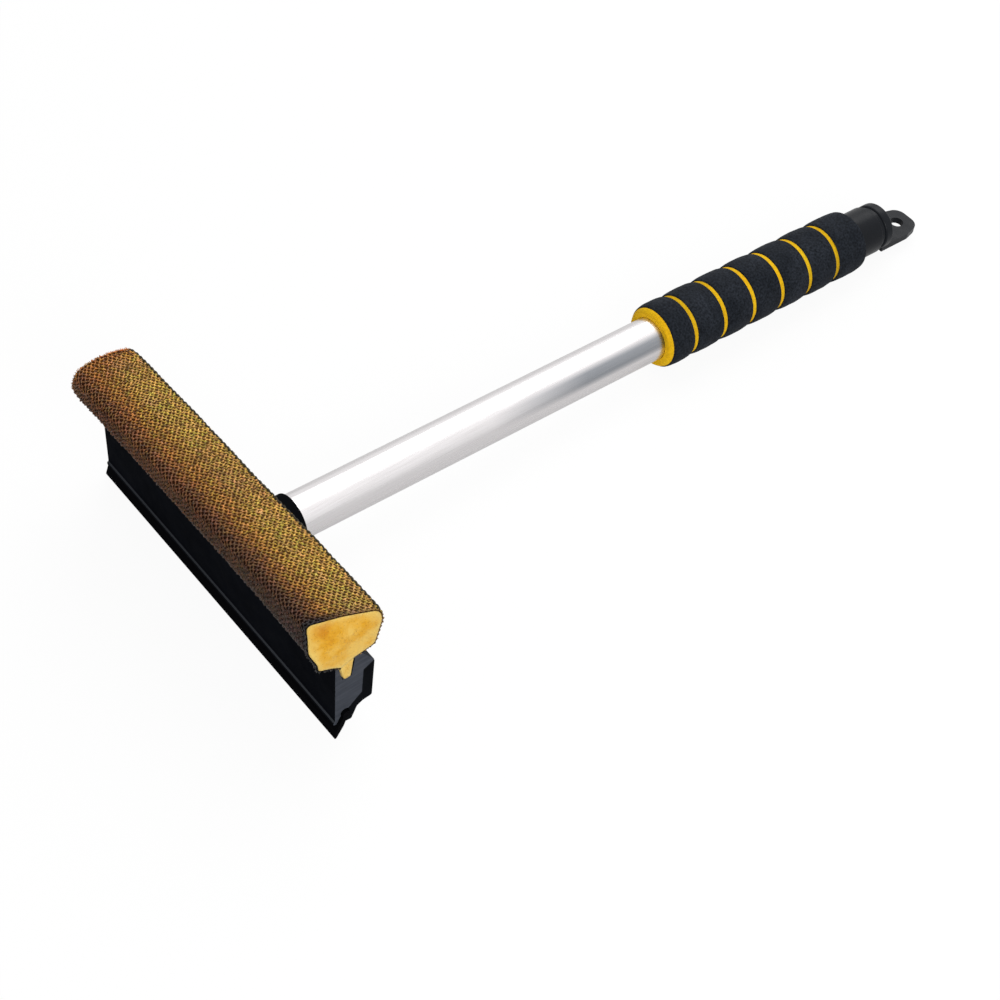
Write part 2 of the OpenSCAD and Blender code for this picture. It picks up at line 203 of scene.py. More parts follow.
def moulded(name, dark, light, rough, ior=1.35, cut=None, painted_top_light=None):
    """Moulded plastic: fine spark grain, faint clouding and slightly uneven gloss.

    cut gives the two greys of faces turned along X, painted light that makes them lighter,
    and the paler grey of a painted highlight on their edges; the last colour is painted light on faces that
    look up."""
    p = Paint(name, dark, rough, IOR=ior)
    clouds = p.noise(38.0, 4.0, 0.6)
    skin = p.ramp(clouds, [(0.3, dark), (0.72, light)])
    if painted_top_light:
        # Painted light: faces that look up turn paler, as light from above falls on them
        skin = p.blend(p.span(p.axes(p.normal)[2], 0.25, 0.8), skin, painted_top_light)
    # Painted light: faces turned along X get a lighter grey, and the edges between them a painted highlight
    if cut:
        low, high, edge = cut
        scratch = p.noise(1.0, 4.0, 0.6, p.scaled((60.0, 60.0, 420.0)))
        lit_end_grey = p.ramp(scratch, [(0.3, low), (0.7, high)])
        away = p.math("ABSOLUTE", p.axes(p.normal)[0], 0.0)
        skin = p.blend(p.span(away, 0.25, 0.5), skin, edge)
        skin = p.blend(p.span(away, 0.75, 0.95), skin, lit_end_grey)
    p.color(skin)
    p.rough(p.span(p.noise(160.0, 3.0), 0.3, 0.7, rough - 0.06, rough + 0.07))
    fine = p.bump(p.noise(2600.0, 2.0, 0.6), 0.12, 0.0001)
    p.bump(p.noise(95.0, 2.0), 0.06, 0.0006, after=fine)
    return p.material


FRONT = moulded(
    "front_plastic", (0.0025, 0.003, 0.0045), (0.005, 0.006, 0.009), 0.6, ior=1.03,
    # cut: painted light on the ends, and a painted highlight on their edges
    cut=((0.052, 0.058, 0.072), (0.080, 0.087, 0.106), (0.13, 0.135, 0.15)),
    # painted light on faces that look up
    painted_top_light=(0.06, 0.065, 0.075))
BLACK = moulded("black_plastic", (0.0035, 0.004, 0.005), (0.006, 0.007, 0.009), 0.5, ior=1.03)
CAP = moulded("cap_plastic", (0.0075, 0.0088, 0.0115), (0.013, 0.015, 0.019), 0.3, ior=1.2)

rubber = Paint("blade_rubber", (0.003, 0.003, 0.004), 0.6, IOR=1.03)
streaks = rubber.noise(1.0, 4.0, 0.6, rubber.scaled((30.0, 900.0, 900.0)))
rubber.color(rubber.ramp(streaks, [(0.3, (0.002, 0.002, 0.003)), (0.75, (0.005, 0.005, 0.006))]))
rubber.rough(rubber.span(streaks, 0.3, 0.7, 0.44, 0.58))
rubber.bump(streaks, 0.2, 0.00015)
RUBBER = rubber.material

steel = Paint("zinc_steel", (0.6, 0.6, 0.61), 0.32, 1.0)
patch = steel.noise(1400.0, 3.0)
steel.color(steel.ramp(patch, [(0.3, (0.5, 0.5, 0.5)), (0.7, (0.68, 0.68, 0.69))]))
steel.rough(steel.span(patch, 0.3, 0.7, 0.24, 0.42))
steel.bump(patch, 0.15, 0.00008)
STEEL = steel.material

tube = Paint("drawn_tube", (0.73, 0.71, 0.715), 0.28, 1.0)
drawn = tube.noise(1.0, 5.0, 0.65, tube.scaled((1500.0, 9.0, 1500.0)))
metal = tube.ramp(drawn, [(0.25, (0.69, 0.665, 0.67)), (0.75, (0.77, 0.75, 0.755))])
# Painted reflection: a dull streak along the tube's +X side, its own shadow on the floor mirrored in it,
# which grows towards the grip
toward = tube.add("ShaderNodeVectorMath", operation="DOT_PRODUCT")
toward.inputs[1].default_value = (0.80, 0.03, 0.60)
tube.link(tube.normal, toward.inputs[0])
around = tube.span(toward.outputs["Value"], 0.90, 0.985)
shadow_reflection = tube.math("MULTIPLY", around, tube.span(tube.axes(tube.place)[1], -0.075, -0.01))
shadow_reflection = tube.math("MULTIPLY", shadow_reflection, tube.span(drawn, 0.25, 0.75, 0.85, 1.0))
tube.color(tube.blend(shadow_reflection, metal, (0.26, 0.275, 0.30)))
tube.rough(tube.span(drawn, 0.3, 0.7, 0.24, 0.34))
tube.bump(drawn, 0.1, 0.00005)
TUBE = tube.material

PLUG = moulded("plug_plastic", (0.025, 0.026, 0.029), (0.036, 0.037, 0.04), 0.5)


def open_foam(name):
    """Pad foam: open pores with painted shade down in them, cloudy yellow, and a painted highlight that
    makes it paler along the rim of its cut ends.
    """
    p = Paint(name, (0.86, 0.5, 0.08), 0.9, Sheen_Weight=0.1, Sheen_Roughness=0.5, Specular_IOR_Level=0.1)
    pores = p.cells(820.0)
    small = p.cells(1900.0)
    both = p.math("MULTIPLY", p.span(pores, 0.0, 0.5), p.span(small, 0.0, 0.45, 0.35, 1.0))
    tone = p.ramp(p.noise(52.0, 4.0, 0.6), [
        (0.34, (0.74, 0.28, 0.010)), (0.48, (0.91, 0.46, 0.03)), (0.62, (0.98, 0.62, 0.13))])
    # Painted highlight: the rim of the cut ends turns paler
    rim = p.add("ShaderNodeAttribute", attribute_name="rim")
    rim_highlight = p.math("MULTIPLY", rim.outputs["Fac"], p.span(p.noise(330.0, 3.0), 0.3, 0.7, 0.45, 1.0))
    tone = p.blend(rim_highlight, tone, (0.98, 0.72, 0.22))
    # Painted shade: darker and browner down in the pores
    p.color(p.times(tone, p.ramp(both, [(0.0, (0.62, 0.5, 0.34)), (0.45, WHITE)])))
    first = p.bump(both, 0.55, 0.0005)
    p.bump(p.noise(210.0, 3.0), 0.3, 0.0008, after=first)
    return p.material


def closed_foam(name, low, mid, high, rough, grain):
    """Grip foam: closed cells under a skin, grained by a share of its colour."""
    p = Paint(name, mid, rough, IOR=1.14)
    cells = p.cells(1500.0)
    tone = p.ramp(p.noise(60.0, 4.0, 0.6), [(0.3, low), (0.5, mid), (0.72, high)])
    grains = p.ramp(p.noise(850.0, 2.0, 0.6), [
        (0.34, (1 - grain,) * 3), (0.5, WHITE), (0.66, (1 + grain,) * 3)])
    p.color(p.times(tone, grains))
    p.rough(p.span(p.noise(240.0, 2.0), 0.3, 0.7, rough - 0.07, rough + 0.07))
    first = p.bump(cells, 0.35, 0.00025)
    p.bump(p.noise(130.0, 3.0), 0.25, 0.0008, after=first)
    return p.material


PAD_FOAM = open_foam("pad_foam_cells")
GRIP = closed_foam(
    "charcoal_foam", (0.010, 0.0125, 0.017), (0.0155, 0.0185, 0.024), (0.023, 0.027, 0.035), 0.7, 0.55)
YELLOW = closed_foam("yellow_foam", (0.90, 0.49, 0.008), (0.95, 0.56, 0.012), (0.98, 0.63, 0.02), 0.6, 0.12)

# Both ends of the pad draw back above a slanted line of its section, which runs from low
# in front to the rear upper edge. PULL says how far for each millimetre above that line:
# it makes PAD_NIP at the upper front corner.
NIP_LOW = (-PAD_FRONT, PAD_LOW + 3.6)
REAR_EDGE = (PAD_BACK, PAD_LOW + PAD_H_REAR)
SLANT = math.atan2(REAR_EDGE[1] - NIP_LOW[1], REAR_EDGE[0] - NIP_LOW[0])
PULL = PAD_NIP / (PAD_FRONT * math.sin(SLANT) + (PAD_H_FRONT - PAD_H_REAR) * math.cos(SLANT))
# The same slope in the row frame, for materials
COS_S, SIN_S = math.cos(SLANT + REST_TILT), math.sin(SLANT + REST_TILT)
REAR_TOP = at_rest((0.0, *REAR_EDGE))
RISE_0 = float(REAR_TOP[2] * COS_S - REAR_TOP[1] * SIN_S)


def shade_and_end_tones(p):
    """Painted shade that darkens the net towards its front edge and low on its front side, and the tones of
    its ends: a colour to multiply with.

    All its limits are places in the row frame, in metres."""
    x, y, z = p.axes(p.place)
    # How far back a point lies: the front edge is slightly turned, and its limit is ragged
    back = p.math("ADD", y, p.math("MULTIPLY", x, -0.0175))
    back = p.math("ADD", back, p.span(p.noise(70.0, 3.0), 0.3, 0.7, -0.0012, 0.0012))
    # Painted shade: the net darkens and turns purple towards its front edge
    front = p.ramp(p.span(back, -0.2540, -0.2340), [
        (0.0, (0.34, 0.21, 0.29)), (0.10, (0.44, 0.28, 0.33)), (0.27, (0.64, 0.43, 0.42)),
        (0.42, (0.78, 0.60, 0.52)), (0.72, (0.90, 0.80, 0.7)), (1.0, (1.0, 1.0, 1.05))])
    # Painted shade: darker again low on the front side, and towards the near end
    low = p.ramp(p.span(z, 0.064, 0.090), [
        (0.0, (0.26, 0.30, 0.44)), (0.45, (0.48, 0.50, 0.62)), (1.0, (0.97, 0.95, 0.95))])
    front = p.times(front, p.blend(p.span(back, -0.2360, -0.2280), low, WHITE))
    nearer_front_shade = p.math("MULTIPLY", p.span(x, -0.05, 0.09), p.span(back, -0.2540, -0.2440, 1.0, 0.0))
    front = p.blend(nearer_front_shade, front, p.times(front, (0.42, 0.46, 0.66)))
    # The far end is an even rusty brown
    front = p.blend(p.span(x, -0.106, -0.092), (0.75, 0.5, 0.34), front)
    far = p.ramp(p.span(x, -0.1035, -0.093), [
        (0.0, (0.95, 0.62, 0.4)), (0.25, (0.98, 0.86, 0.8)), (1.0, WHITE)])
    # The net is darker in a band along the near end, most of all on its front side: inset is how deep a
    # point lies behind the slanted end
    rise = p.math("ADD", p.math("MULTIPLY", z, COS_S), p.math("MULTIPLY", y, -SIN_S))
    pulled = p.math("MULTIPLY", p.math("MAXIMUM", p.math("SUBTRACT", rise, RISE_0), 0.0), PULL)
    inset = p.math("SUBTRACT", p.math("SUBTRACT", PAD_LEN / 2 * MM, pulled), x)
    near_front = p.ramp(p.span(inset, 0.0, 0.0045), [
        (0.0, (0.07, 0.04, 0.12)), (0.45, (0.12, 0.08, 0.16)), (1.0, WHITE)])
    near_back = p.ramp(p.span(inset, 0.0, 0.03), [
        (0.0, (0.4, 0.34, 0.34)), (0.07, (0.78, 0.76, 0.9)), (1.0, WHITE)])
    near = p.blend(p.span(back, -0.2500, -0.2290), near_front, near_back)
    return p.times(p.times(front, far), near)


def yarn_material(name):
    """Golden yarn with cloudy tone, light and dark specks and threads of other hues."""
    p = Paint(name, (0.55, 0.32, 0.06), 0.3, Sheen_Weight=0.02, Specular_IOR_Level=0.36)
    wide = p.noise(30.0, 4.0, 0.62, p.scaled((0.55, 1.0, 1.0)))
    tone = p.ramp(wide, [
        (0.28, (0.52, 0.28, 0.06)), (0.42, (0.63, 0.40, 0.06)),
        (0.56, (0.71, 0.50, 0.065)), (0.74, (0.63, 0.43, 0.13))])
    speck = p.ramp(p.noise(540.0, 2.0, 0.6), [
        (0.34, (0.30, 0.24, 0.22)), (0.5, (0.95, 0.95, 0.95)), (0.66, (1.6, 1.5, 1.9))])
    hue = p.ramp(p.noise(330.0, 3.0, 0.7), [
        (0.32, (0.86, 1.12, 0.9)), (0.45, WHITE), (0.58, (1.05, 0.84, 1.25)), (0.7, (1.25, 1.2, 2.6))])
    p.color(p.times(p.times(p.times(tone, speck), hue), shade_and_end_tones(p)))
    p.rough(p.span(p.noise(500.0, 2.0), 0.3, 0.7, 0.22, 0.42))
    p.bump(p.noise(3000.0, 2.0), 0.3, 0.0001)
    return p.material


def net_ground(name):
    """The dull brown ground of the net between its yarns."""
    p = Paint(name, (0.1, 0.055, 0.015), 0.8, Specular_IOR_Level=0.1)
    holes = p.cells(520.0)
    wide = p.ramp(p.noise(30.0, 4.0), [(0.3, (0.075, 0.034, 0.010)), (0.7, (0.13, 0.062, 0.012))])
    # Painted shade: darker down in the net's holes
    hole_shade = p.ramp(holes, [(0.0, (0.7, 0.7, 0.7)), (0.5, (1.2, 1.2, 1.2))])
    p.color(p.times(p.times(wide, hole_shade), shade_and_end_tones(p)))
    p.bump(holes, 0.5, 0.0004)
    return p.material


YARN = yarn_material("golden_yarn")
NET_GROUND = net_ground("net_ground")

thread = Paint("seam_thread", (0.03, 0.026, 0.014), 0.6, Specular_IOR_Level=0.2)
twist = thread.noise(900.0, 3.0)
thread.color(thread.ramp(twist, [(0.3, (0.012, 0.011, 0.008)), (0.7, (0.06, 0.048, 0.02))]))
thread.rough(thread.span(twist, 0.3, 0.7, 0.5, 0.75))
thread.bump(twist, 0.4, 0.0002)
THREAD = thread.material


# ---------------------------------------------------------------- helpers
def mesh_object(name, points, faces, material):
    """A smooth mesh from points in the row frame."""
    mesh = bpy.data.meshes.new(name)
    mesh.from_pydata([tuple(p) for p in points], [], [tuple(f) for f in faces])
    mesh.update()
    mesh.polygons.foreach_set("use_smooth", [True] * len(mesh.polygons))
    mesh.materials.append(material)
    obj = bpy.data.objects.new(name, mesh)
    bpy.context.scene.collection.objects.link(obj)
    return obj


def corner(a, b, c, r, steps):
    """Points of an arc of radius r that rounds corner b between a and c."""
    a, b, c = (np.array(p, float) for p in (a, b, c))
    u, v = (a - b) / np.linalg.norm(a - b), (c - b) / np.linalg.norm(c - b)
    half = math.acos(float(np.clip(u @ v, -1, 1))) / 2
    mid = (u + v) / np.linalg.norm(u + v)
    centre = b + mid * r / math.sin(half)
    p, q = b + u * r / math.tan(half) - centre, b + v * r / math.tan(half) - centre
    start = math.atan2(p[1], p[0])
    turn = (math.atan2(q[1], q[0]) - start + 5 * math.pi) % (2 * math.pi) - math.pi
    angles = [start + turn * i / steps for i in range(steps + 1)]
    return [centre + r * np.array([math.cos(t), math.sin(t)]) for t in angles]


def rounded(corners, steps=14):
    """A closed outline through corners, each given by its two coordinates and its radius."""
    n, found = len(corners), []
    for i in range(n):
        before, here, after = corners[i - 1], corners[i], corners[(i + 1) % n]
        if here[2] > 0:
            found += corner(before[:2], here[:2], after[:2], here[2], steps)
        else:
            found.append(np.array(here[:2], float))
    return np.array(found)


def even(outline, count, closed=True):
    """The outline in count points at even distances."""
    line = np.vstack([outline, outline[:1]]) if closed else outline
    step = np.linalg.norm(np.diff(line, axis=0), axis=1)
    line = line[np.concatenate([[True], step > 1e-9])]
    s = np.concatenate([[0], np.cumsum(np.linalg.norm(np.diff(line, axis=0), axis=1))])
    at = np.linspace(0, s[-1], count, endpoint=not closed)
    return np.stack([np.interp(at, s, line[:, k]) for k in range(line.shape[1])], axis=1)


def smooth_step(x):
    """A soft step from 0 at 0 to 1 at 1."""
    x = np.clip(x, 0, 1)
    return x * x * (3 - 2 * x)


# ---------------------------------------------------------------- the pad's form
# Corners of the pad's section: y, z and the radius that rounds the corner
PAD_CORNERS = [
    (-PAD_FRONT, PAD_LOW + 15, 8),                       # front side, where it turns in
    (-PAD_FRONT + 6, PAD_LOW + 2.6, 4),                  # lower front edge
    (FOOT_MID - FOOT_W / 2, LIP_TOP + 0.9, 0.0),         # front side of the foot
    (FOOT_MID + FOOT_W / 2, PAD_LOW - 1.4, 0.0),         # rear side of the foot
    (PAD_BACK - 3.4, PAD_LOW + 0.8, 3),                  # lower rear edge
    (PAD_BACK + 0.2, PAD_LOW + PAD_H_REAR * 0.66, 10),   # rear side
    (PAD_BACK - 1.6, PAD_LOW + PAD_H_REAR, 6.5),         # upper rear edge
    (-PAD_FRONT * 0.48, PAD_LOW + (PAD_H_FRONT + PAD_H_REAR) / 2 + 0.8, 60),  # domed top
    (-PAD_FRONT, PAD_LOW + PAD_H_FRONT, 4),              # upper front edge
]
outline = rounded(PAD_CORNERS)
centre_yz = outline.mean(axis=0)


def end_pull(y, z):
    """How far the slanted end of the pad lies behind its full length."""
    rise = (z - REAR_EDGE[1]) * math.cos(SLANT) - (y - REAR_EDGE[0]) * math.sin(SLANT)
    return np.maximum(0, rise) * PULL


# How the soft pad departs from a straight block, in millimetres unless it says share
DRAW_NEAR, DRAW_FAR = 0.012, 0.10   # share by which the section draws in at each end
DOME = 2.8                          # how far the far end bulges out in its middle
DOME_MID, DOME_HALF = -18.5, 19     # that bulge's middle and half width along Y
LEAN_HIGH, LEAN_LOW = 3.6, 5.0      # at the far end: upper part forward, lower front back
FLARE_HIGH, FLARE_LOW = 1.4, 1.6    # how far the front spreads at the near end
PEAK = 2.0                          # how far the upper front corner stands out at the near end


def pad_point(u, y, z):
    """A point of the pad at station u, from -1 at the far end to 1 at the near end."""
    half = PAD_LEN / 2
    x = u * (half - end_pull(y, z))
    # The section draws in over the last 4 mm at the near end, and rounds off at the far end
    near = smooth_step((x - (half - 4)) / 4)
    far = np.clip((-u - 0.9) / 0.1, 0, 1)
    draw = 1 - DRAW_NEAR * near - DRAW_FAR * (1 - np.sqrt(np.maximum(0, 1 - far ** 2.2)))
    above = smooth_step((z - PAD_LOW) / 9)
    x = x - DOME * far ** 2 * above * np.clip(1 - ((y - DOME_MID) / DOME_HALF) ** 2, 0, 1)
    # It leans more and more towards the far end
    high = np.clip((z - PAD_LOW - 11) / 8, 0, 1)
    far_share = np.clip((half - x) / PAD_LEN, 0, 1)
    lean = LEAN_HIGH * far_share ** 1.15 * high
    lean = lean - LEAN_LOW * far_share ** 0.9 * (1 - high) * np.clip((-y - 22) / 12, 0, 1)
    # Its front spreads over the last 7 mm at the near end, most of all low down
    flare = smooth_step((x - (half - 7)) / 7) * smooth_step((-y - 24) / 9)
    flare = flare * (FLARE_HIGH * smooth_step((53 - z) / 9) + FLARE_LOW * smooth_step((33 - z) / 5))
    corner_off = (y + PAD_FRONT) ** 2 + (z - PAD_LOW - PAD_H_FRONT) ** 2
    peak = PEAK * np.exp(-corner_off / 7) * smooth_step((u - 0.9) / 0.1)
    y2 = centre_yz[0] + (y - centre_yz[0]) * draw - lean - flare - 0.7 * peak
    z2 = centre_yz[1] + (z - centre_yz[1]) * (1 - (1 - draw) * above) + 0.7 * peak
    # Its surface has the slow waves of soft foam
    wave = 0.28 * np.sin(x * 0.071 + 1.3) * np.sin(y * 0.12 + z * 0.09)
    wave = wave + 0.16 * np.sin(x * 0.19 + z * 0.22)
    return np.stack([x, y2, z2 + wave * above], axis=-1)


def loft_grid(line, stations):
    """Rows of points: one closed outline for each station."""
    return np.stack([pad_point(np.full(len(line), u), line[:, 0], line[:, 1]) for u in stations])


def tube_faces(rows, n, start=0, closed=True):
    """Faces between rows of n points: a tube, or an open sheet."""
    faces = []
    for i in range(rows - 1):
        for j in range(n if closed else n - 1):
            k = (j + 1) % n
            a, b = start + i * n, start + (i + 1) * n
            faces.append((a + j, b + j, b + k, a + k))
    return faces


def normals_in(line, closed=True):
    """Unit normals of an anticlockwise outline, which point inwards."""
    if closed:
        tangent = np.roll(line, -1, axis=0) - np.roll(line, 1, axis=0)
    else:
        tangent = np.gradient(line, axis=0)
    tangent /= np.linalg.norm(tangent, axis=1)[:, None]
    return np.stack([-tangent[:, 1], tangent[:, 0]], axis=1)


def close_end(base, n, rings, end, place, rim_at):
    """Closes an end of the foam, -1 far or 1 near, by rings that shrink to one point.

    place(share) gives the points at this share of the outline, and rim_at(share) how
    much they belong to its rim."""
    previous = [base + j for j in range(n)]
    for k in range(1, rings + 1):
        share = 1 - k / rings
        begin = sum(len(p) for p in points)
        points.append(place(share))
        rim_share.append(np.full(len(points[-1]), rim_at(share)))
        current = [begin + j for j in range(n)] if k < rings else [begin] * n
        for j in range(n):
            q = (j + 1) % n
            face = [previous[j], current[j], current[q], previous[q]]
            if k == rings:
                face = [previous[j], current[j], previous[q]]
            faces.append(tuple(face) if end > 0 else tuple(reversed(face)))
        previous = current


# Foam block: its skin lies just under the net, and both ends are cut faces with fine pores
BLOCK_ROUND, BLOCK_RINGS = 132, 16
END_BULGE, END_PORES = 0.55, 0.10
full = even(outline, 400)
foam_line = even(full + (NET_T + 0.15) * normals_in(full), BLOCK_ROUND)
foam_mid = foam_line.mean(axis=0)
# Places along the pad, closer together near its ends
stations = np.concatenate([
    [-1.0, -0.995, -0.985, -0.97, -0.95], np.linspace(-0.92, 0.92, 44), [0.95, 0.97, 0.985, 0.995, 1.0]])
points = [loft_grid(foam_line, stations).reshape(-1, 3)]
# The block's sides get the painted rim highlight in full
rim_share = [np.ones(len(points[0]))]
faces = tube_faces(len(stations), BLOCK_ROUND)
rng = np.random.default_rng(5)


def foam_ring(end, share):
    """One ring of a cut end of the block: slightly bulging, and uneven with pores."""
    ring = foam_mid + (foam_line - foam_mid) * share if share else foam_mid[None]
    placed = pad_point(np.full(len(ring), end), ring[:, 0], ring[:, 1])
    pores = rng.normal(0, END_PORES, BLOCK_ROUND) if share else 0.0
    placed[:, 0] += end * (END_BULGE * (1 - share ** 2) + pores)
    return placed


for end, row in ((-1.0, 0), (1.0, len(stations) - 1)):
    close_end(row * BLOCK_ROUND, BLOCK_ROUND, BLOCK_RINGS, end,
              lambda share: foam_ring(end, share), lambda share: share ** 7)

# The foot under the block, which sits in the head's channel
FOOT_ROUND, FOOT_ROWS, FOOT_RINGS = 60, 60, 5
# FOOT_RIM is the share of the painted rim highlight that the foot gets
FOOT_BULGE, FOOT_PORES, FOOT_RIM = 0.25, 0.08, 0.8
foot = even(rounded([
    (FOOT_MID - FOOT_W / 2, PAD_LOW + 1.5, 0.0),
    (FOOT_MID - FOOT_W / 2, LIP_TOP, 3.0),
    (FOOT_MID + 0.7 - FOOT_TIP_W / 2, FOOT_LOW, 1.4),
    (FOOT_MID + FOOT_TIP_W / 2, FOOT_LOW, 1.4),
    (FOOT_MID + FOOT_W / 2 - 1.1, LIP_TOP, 3.0),
    (FOOT_MID + FOOT_W / 2 - 0.6, PAD_LOW + 1.5, 0.0),
], 6), FOOT_ROUND)
foot_mid = foot.mean(axis=0)
foot_rows = []
for i, x in enumerate(np.linspace(-HEAD_LEN / 2 + STOP_T + SLIP, PAD_LEN / 2 - 0.6, FOOT_ROWS)):
    drawn_in = 0.9 + 0.1 * math.sqrt(min(1.0, (FOOT_ROWS - 1 - i) / 2))
    foot_rows.append(np.column_stack([np.full(FOOT_ROUND, x), foot_mid + (foot - foot_mid) * drawn_in]))
foot_start = sum(len(p) for p in points)
points.append(np.vstack(foot_rows))
rim_share.append(np.full(len(points[-1]), FOOT_RIM))
faces += tube_faces(FOOT_ROWS, FOOT_ROUND, foot_start)


def foot_ring(row, end, share):
    """One ring of a cut end of the foot."""
    edge = foot_rows[row]
    if not share:
        return np.array([[edge[0, 0] + end * FOOT_BULGE, *foot_mid]])
    bulge = rng.normal(0, FOOT_PORES, FOOT_ROUND) + FOOT_BULGE * (1 - share)
    return np.column_stack([edge[:, 0] + end * bulge, foot_mid + (edge[:, 1:] - foot_mid) * share])


for end, row in ((-1.0, 0), (1.0, FOOT_ROWS - 1)):
    close_end(foot_start + row * FOOT_ROUND, FOOT_ROUND, FOOT_RINGS, end,
              lambda share: foot_ring(row, end, share), lambda share: FOOT_RIM * share)
foam = mesh_object("pad_foam_block", at_rest(np.vstack(points)), faces, PAD_FOAM)
rim = foam.data.attributes.new("rim", "FLOAT", "POINT")
rim.data.foreach_set("value", np.concatenate(rim_share).astype(np.float32))
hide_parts("foam_pad")
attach(foam, "pad")

# Net: a thin dark ground over the foam, open where the foot leaves it and at both ends
GROUND_OUT, GROUND_IN = 0.42, 0.72
NET_ROWS = 90
dense = even(outline, 2000)
beside = np.abs(dense[:, 0] - FOOT_MID) < FOOT_W / 2 + 0.2
in_gap = beside & (dense[:, 1] < PAD_LOW + 0.6)
first = int(np.argmax(in_gap))
net_path = np.roll(dense, -first, axis=0)[~np.roll(in_gap, -first)]
net_path = even(net_path, 150, closed=False)
net_in = normals_in(net_path, closed=False)
net_stations = np.linspace(-1.0, 1.0, NET_ROWS)
out_rows = loft_grid(net_path + GROUND_OUT * net_in, net_stations)
in_rows = loft_grid(net_path + GROUND_IN * net_in, net_stations)
n = len(net_path)
one_side = NET_ROWS * n
points = np.vstack([out_rows.reshape(-1, 3), in_rows.reshape(-1, 3)])
faces = tube_faces(NET_ROWS, n, 0, closed=False)
faces += [tuple(reversed(f)) for f in tube_faces(NET_ROWS, n, one_side, closed=False)]
for i in range(NET_ROWS - 1):
    for j, flip in ((0, False), (n - 1, True)):
        a, b = i * n + j, (i + 1) * n + j
        face = (a, one_side + a, one_side + b, b)
        faces.append(tuple(reversed(face)) if flip else face)
for j in range(n - 1):
    for i, flip in ((0, True), (NET_ROWS - 1, False)):
        a = i * n + j
        face = (a, one_side + a, one_side + a + 1, a + 1)
        faces.append(tuple(reversed(face)) if flip else face)
ground = mesh_object("net_ground_sheet", at_rest(points), faces, NET_GROUND)
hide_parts("scrub_net")
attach(ground, "pad")

# Distance round the net at each point of its path, its full length and its outward normals
net_steps = np.linalg.norm(np.diff(net_path, axis=0), axis=1)
s_all = np.concatenate([[0], np.cumsum(net_steps)])
net_len = float(np.sum(net_steps))
normal_out = -net_in


def net_place(x, s, lift):
    """A point lift above the net's ground, x along the pad and s round it, in the tool's axes."""
    y = np.interp(s, s_all, net_path[:, 0])
    z = np.interp(s, s_all, net_path[:, 1])
    ny = np.interp(s, s_all, normal_out[:, 0])
    nz = np.interp(s, s_all, normal_out[:, 1])
    y, z = y + ny * (lift - GROUND_OUT), z + nz * (lift - GROUND_OUT)
    return pad_point(np.clip(x / (PAD_LEN / 2), -1, 1), y, z)


def strands(name, lines, radii, material, sides=6, aside=(0.37, 0.61, 0.7), caps=True):
    """Round strands through lists of points in the tool's axes, with a radius for each point."""
    points, faces, count = [], [], 0
    for line, radius in zip(lines, radii):
        along = np.gradient(line, axis=0)
        along /= np.linalg.norm(along, axis=1)[:, None]
        side = np.cross(along, np.array(aside))
        side /= np.linalg.norm(side, axis=1)[:, None]
        upward = np.cross(side, along)
        m = len(line)
        for k in range(sides):
            angle = 2 * math.pi * k / sides
            points.append(line + (math.cos(angle) * side + math.sin(angle) * upward) * radius[:, None])
        for i in range(m - 1):
            for k in range(sides):
                a, b = count + k * m + i, count + (k + 1) % sides * m + i
                faces.append((a, b, b + 1, a + 1))
        if caps:
            for i, flip in ((0, True), (m - 1, False)):
                face = [count + k * m + i for k in range(sides)]
                faces.append(tuple(reversed(face)) if flip else tuple(face))
        count += sides * m
    return mesh_object(name, at_rest(np.vstack(points)), faces, material)


# Knitted yarn: upright wales that lean to and fro and meet their neighbours in knots
PITCH, COURSE = 1.6, 2.8
YARN_STEP, YARN_R, KNOT_R = 0.42, 0.17, 0.39
wales = int(PAD_LEN / PITCH)
steps = int(net_len / YARN_STEP)
s_line = np.linspace(0.15, net_len - 0.15, steps)
lines, radii = [], []
for w in range(wales + 1):
    x0 = -PAD_LEN / 2 + 0.35 + (PAD_LEN - 0.7) * w / wales
    phase = math.pi * (w % 2) + rng.normal(0, 0.3)
    phase = phase + 0.5 * np.interp(s_line, np.linspace(0, net_len, 14), rng.normal(0, 1, 14))
    swing = np.cos(2 * math.pi * s_line / COURSE + phase)
    loop = np.round(s_line / (COURSE / 2)).astype(int)
    size = rng.normal(1.0, 0.2, loop.max() + 1)[loop]
    shove = rng.normal(0, 0.17, loop.max() + 1)[loop]
    x = x0 + 0.32 * PITCH * np.sign(swing) * np.abs(swing) ** 0.7 + shove
    x = np.clip(x, -PAD_LEN / 2 + 0.3, PAD_LEN / 2 - 0.3)
    knot = np.abs(swing) ** 2.2 * size
    lift = 0.12 + 0.36 * knot + rng.normal(0, 0.03, steps)
    lines.append(net_place(x, s_line, lift))
    radii.append(YARN_R + KNOT_R * np.clip(knot, 0, 1.3))
yarn = strands("net_yarn", lines, radii, YARN, 5, aside=(0.31, 0.52, 0.79), caps=False)
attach(yarn, "pad")

